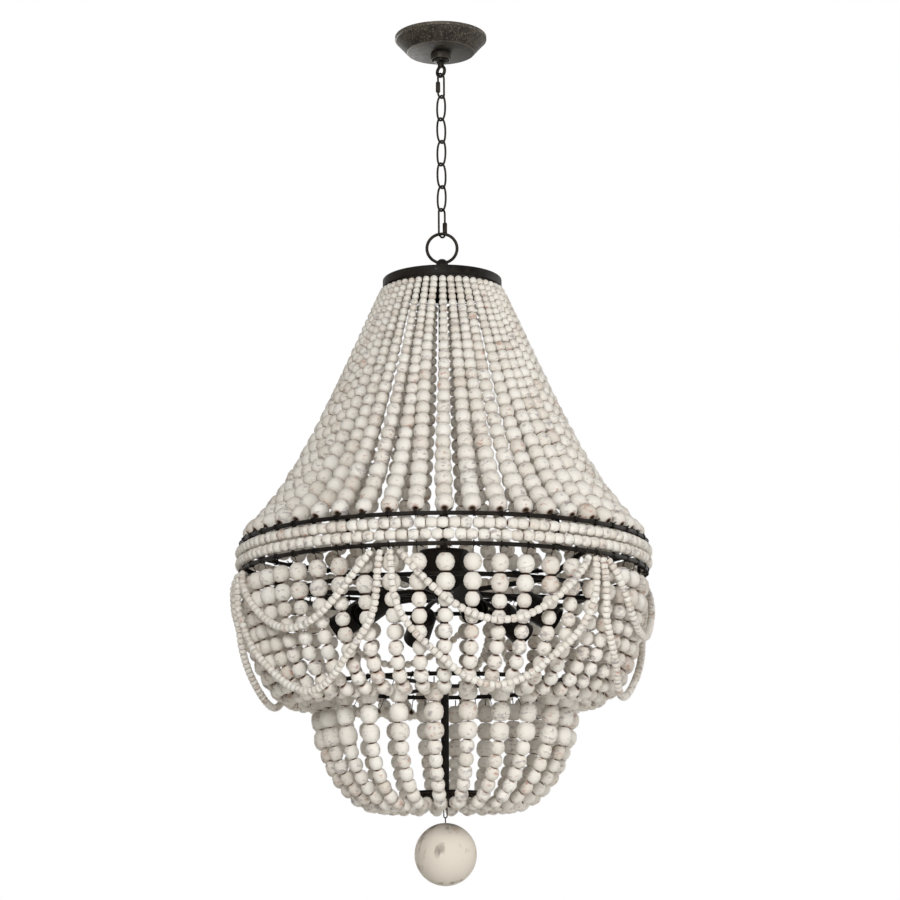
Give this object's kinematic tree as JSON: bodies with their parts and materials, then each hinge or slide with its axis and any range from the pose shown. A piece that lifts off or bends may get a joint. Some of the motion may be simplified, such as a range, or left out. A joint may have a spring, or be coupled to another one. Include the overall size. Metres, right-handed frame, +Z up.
{
  "type": "beaded chandelier",
  "caption": "Hanging chandelier: graded strings of wooden beads draped over an iron hoop frame in an urn shape, with bead swags, a ball finial, a short chain and a ceiling canopy.",
  "frame": {"origin": "on the axis, in the plane of the ceiling, at the centre of the mounting crossbar's top face", "axes": "+Z up, out of the ceiling end; -Y towards the camera of the picture; +X to its right"},
  "size_m": [0.6302, 0.6302, 1.3001],
  "materials": {
    "aged_iron": "aged dark bronze paint on iron, slightly uneven",
    "limewashed_wood": "limewashed turned wood beads, matt, with worn brown cracks",
    "lamp_holder": "dark moulded lamp holder"
  },
  "bodies": {
    "ceiling_plate": {"mounting_crossbar": "aged_iron", "threaded_nipple": "aged_iron", "hanging_loop": "aged_iron"},
    "canopy": {"canopy": "aged_iron"},
    "canopy_collar": {"canopy_collar": "aged_iron"},
    "top_quick_link": {"top_quick_link": "aged_iron"},
    "top_link_sleeve": {"top_link_sleeve": "aged_iron"},
    "chain_link_1": {"chain_link_1": "aged_iron"},
    "chain_link_2": {"chain_link_2": "aged_iron"},
    "chain_link_3": {"chain_link_3": "aged_iron"},
    "chain_link_4": {"chain_link_4": "aged_iron"},
    "chain_link_5": {"chain_link_5": "aged_iron"},
    "bottom_quick_link": {"bottom_quick_link": "aged_iron"},
    "bottom_link_sleeve": {"bottom_link_sleeve": "aged_iron"},
    "suspension_ring": {"suspension_ring": "aged_iron"},
    "fixture": {"crown_eye": "aged_iron", "crown_cap": "aged_iron", "centre_stem": "aged_iron", "upper_hoop": "aged_iron", "lower_hoop": "limewashed_wood", "band_row_1": "limewashed_wood", "band_row_2": "limewashed_wood", "lamp_hub": "aged_iron", "lamp_frame": "aged_iron", "lamp_socket_1": "aged_iron", "lamp_holder_1": "lamp_holder", "lamp_socket_2": "aged_iron", "lamp_holder_2": "lamp_holder", "lamp_socket_3": "aged_iron", "lamp_holder_3": "lamp_holder", "lamp_socket_4": "aged_iron", "lamp_holder_4": "lamp_holder", "lamp_socket_5": "aged_iron", "lamp_holder_5": "lamp_holder", "lamp_socket_6": "aged_iron", "lamp_holder_6": "lamp_holder", "second_ring": "aged_iron", "bottom_dish": "aged_iron", "finial_cone": "aged_iron", "upper_strands_1": "limewashed_wood", "upper_strands_2": "limewashed_wood", "upper_strands_3": "limewashed_wood", "upper_strands_4": "limewashed_wood", "lower_strands_1": "limewashed_wood", "lower_strands_2": "limewashed_wood", "lower_strands_3": "limewashed_wood"},
    "upper_swag_1": {"upper_swag_1": "limewashed_wood"},
    "upper_swag_2": {"upper_swag_2": "limewashed_wood"},
    "upper_swag_3": {"upper_swag_3": "limewashed_wood"},
    "upper_swag_4": {"upper_swag_4": "limewashed_wood"},
    "upper_swag_5": {"upper_swag_5": "limewashed_wood"},
    "upper_swag_6": {"upper_swag_6": "limewashed_wood"},
    "lower_swag_1": {"lower_swag_1": "limewashed_wood"},
    "lower_swag_2": {"lower_swag_2": "limewashed_wood"},
    "lower_swag_3": {"lower_swag_3": "limewashed_wood"},
    "lower_swag_4": {"lower_swag_4": "limewashed_wood"},
    "lower_swag_5": {"lower_swag_5": "limewashed_wood"},
    "lower_swag_6": {"lower_swag_6": "limewashed_wood"},
    "ball": {"ball": "limewashed_wood", "ball_loop": "aged_iron"}
  },
  "joints": [
    {"name": "collar_slide", "type": "slide", "parent": "ceiling_plate", "child": "canopy_collar", "axis": [0, 0, -1], "range_m": [0, 0.015]},
    {"name": "canopy_slide", "type": "slide", "parent": "ceiling_plate", "child": "canopy", "axis": [0, 0, -1], "range_m": [0, 0.015]},
    {"name": "top_quick_link_swing", "type": "hinge", "parent": "ceiling_plate", "child": "top_quick_link", "pos_m": [0, 0, -0.06365], "axis": [0.7071, -0.7071, 0], "range_deg": [-15, 15]},
    {"name": "top_link_sleeve_slide", "type": "slide", "parent": "top_quick_link", "child": "top_link_sleeve", "axis": [0, 0, 1], "range_m": [0, 0.006]},
    {"name": "chain_link_1_swing", "type": "hinge", "parent": "top_quick_link", "child": "chain_link_1", "pos_m": [0, 0, -0.09875], "axis": [0.7071, 0.7071, 0], "range_deg": [-15, 15]},
    {"name": "chain_link_2_swing", "type": "hinge", "parent": "chain_link_1", "child": "chain_link_2", "pos_m": [0, 0, -0.13505], "axis": [0.7071, -0.7071, 0], "range_deg": [-15, 15]},
    {"name": "chain_link_3_swing", "type": "hinge", "parent": "chain_link_2", "child": "chain_link_3", "pos_m": [0, 0, -0.17135], "axis": [0.7071, 0.7071, 0], "range_deg": [-15, 15]},
    {"name": "chain_link_4_swing", "type": "hinge", "parent": "chain_link_3", "child": "chain_link_4", "pos_m": [0, 0, -0.20765], "axis": [0.7071, -0.7071, 0], "range_deg": [-15, 15]},
    {"name": "chain_link_5_swing", "type": "hinge", "parent": "chain_link_4", "child": "chain_link_5", "pos_m": [0, 0, -0.24395], "axis": [0.7071, 0.7071, 0], "range_deg": [-15, 15]},
    {"name": "bottom_quick_link_swing", "type": "hinge", "parent": "chain_link_5", "child": "bottom_quick_link", "pos_m": [0, 0, -0.28025], "axis": [0.7071, -0.7071, 0], "range_deg": [-15, 15]},
    {"name": "bottom_link_sleeve_slide", "type": "slide", "parent": "bottom_quick_link", "child": "bottom_link_sleeve", "axis": [0, 0, 1], "range_m": [0, 0.006]},
    {"name": "ring_swing", "type": "hinge", "parent": "bottom_quick_link", "child": "suspension_ring", "pos_m": [0, 0, -0.32225], "axis": [0.7071, 0.7071, 0], "range_deg": [-8, 8]},
    {"name": "fixture_swing", "type": "hinge", "parent": "suspension_ring", "child": "fixture", "pos_m": [0, 0, -0.36275], "axis": [1, 0, 0], "range_deg": [-10, 10]},
    {"name": "upper_swag_1_lift", "type": "hinge", "parent": "fixture", "child": "upper_swag_1", "pos_m": [0.07048, -0.26302, -0.843], "axis": [-0.9659, -0.2588, 0], "range_deg": [0, 15]},
    {"name": "upper_swag_2_lift", "type": "hinge", "parent": "fixture", "child": "upper_swag_2", "pos_m": [0.26302, -0.07048, -0.843], "axis": [-0.2588, -0.9659, 0], "range_deg": [0, 15]},
    {"name": "upper_swag_3_lift", "type": "hinge", "parent": "fixture", "child": "upper_swag_3", "pos_m": [0.19255, 0.19255, -0.843], "axis": [0.7071, -0.7071, 0], "range_deg": [0, 15]},
    {"name": "upper_swag_4_lift", "type": "hinge", "parent": "fixture", "child": "upper_swag_4", "pos_m": [-0.07048, 0.26302, -0.843], "axis": [0.9659, 0.2588, 0], "range_deg": [0, 15]},
    {"name": "upper_swag_5_lift", "type": "hinge", "parent": "fixture", "child": "upper_swag_5", "pos_m": [-0.26302, 0.07048, -0.843], "axis": [0.2588, 0.9659, 0], "range_deg": [0, 15]},
    {"name": "upper_swag_6_lift", "type": "hinge", "parent": "fixture", "child": "upper_swag_6", "pos_m": [-0.19255, -0.19255, -0.843], "axis": [-0.7071, 0.7071, 0], "range_deg": [0, 15]},
    {"name": "lower_swag_1_lift", "type": "hinge", "parent": "fixture", "child": "lower_swag_1", "pos_m": [0.06895, -0.25732, -0.843], "axis": [-0.9659, -0.2588, 0], "range_deg": [0, 15]},
    {"name": "lower_swag_2_lift", "type": "hinge", "parent": "fixture", "child": "lower_swag_2", "pos_m": [0.25732, -0.06895, -0.843], "axis": [-0.2588, -0.9659, 0], "range_deg": [0, 15]},
    {"name": "lower_swag_3_lift", "type": "hinge", "parent": "fixture", "child": "lower_swag_3", "pos_m": [0.18837, 0.18837, -0.843], "axis": [0.7071, -0.7071, 0], "range_deg": [0, 15]},
    {"name": "lower_swag_4_lift", "type": "hinge", "parent": "fixture", "child": "lower_swag_4", "pos_m": [-0.06895, 0.25732, -0.843], "axis": [0.9659, 0.2588, 0], "range_deg": [0, 15]},
    {"name": "lower_swag_5_lift", "type": "hinge", "parent": "fixture", "child": "lower_swag_5", "pos_m": [-0.25732, 0.06895, -0.843], "axis": [0.2588, 0.9659, 0], "range_deg": [0, 15]},
    {"name": "lower_swag_6_lift", "type": "hinge", "parent": "fixture", "child": "lower_swag_6", "pos_m": [-0.18837, -0.18837, -0.843], "axis": [-0.7071, 0.7071, 0], "range_deg": [0, 15]},
    {"name": "ball_swing", "type": "hinge", "parent": "fixture", "child": "ball", "pos_m": [0, 0, -1.1849], "axis": [1, 0, 0], "range_deg": [-25, 25]}
  ],
  "couplings": [
    {"joint": "canopy_slide", "follows": "collar_slide", "ratio": 1}
  ]
}
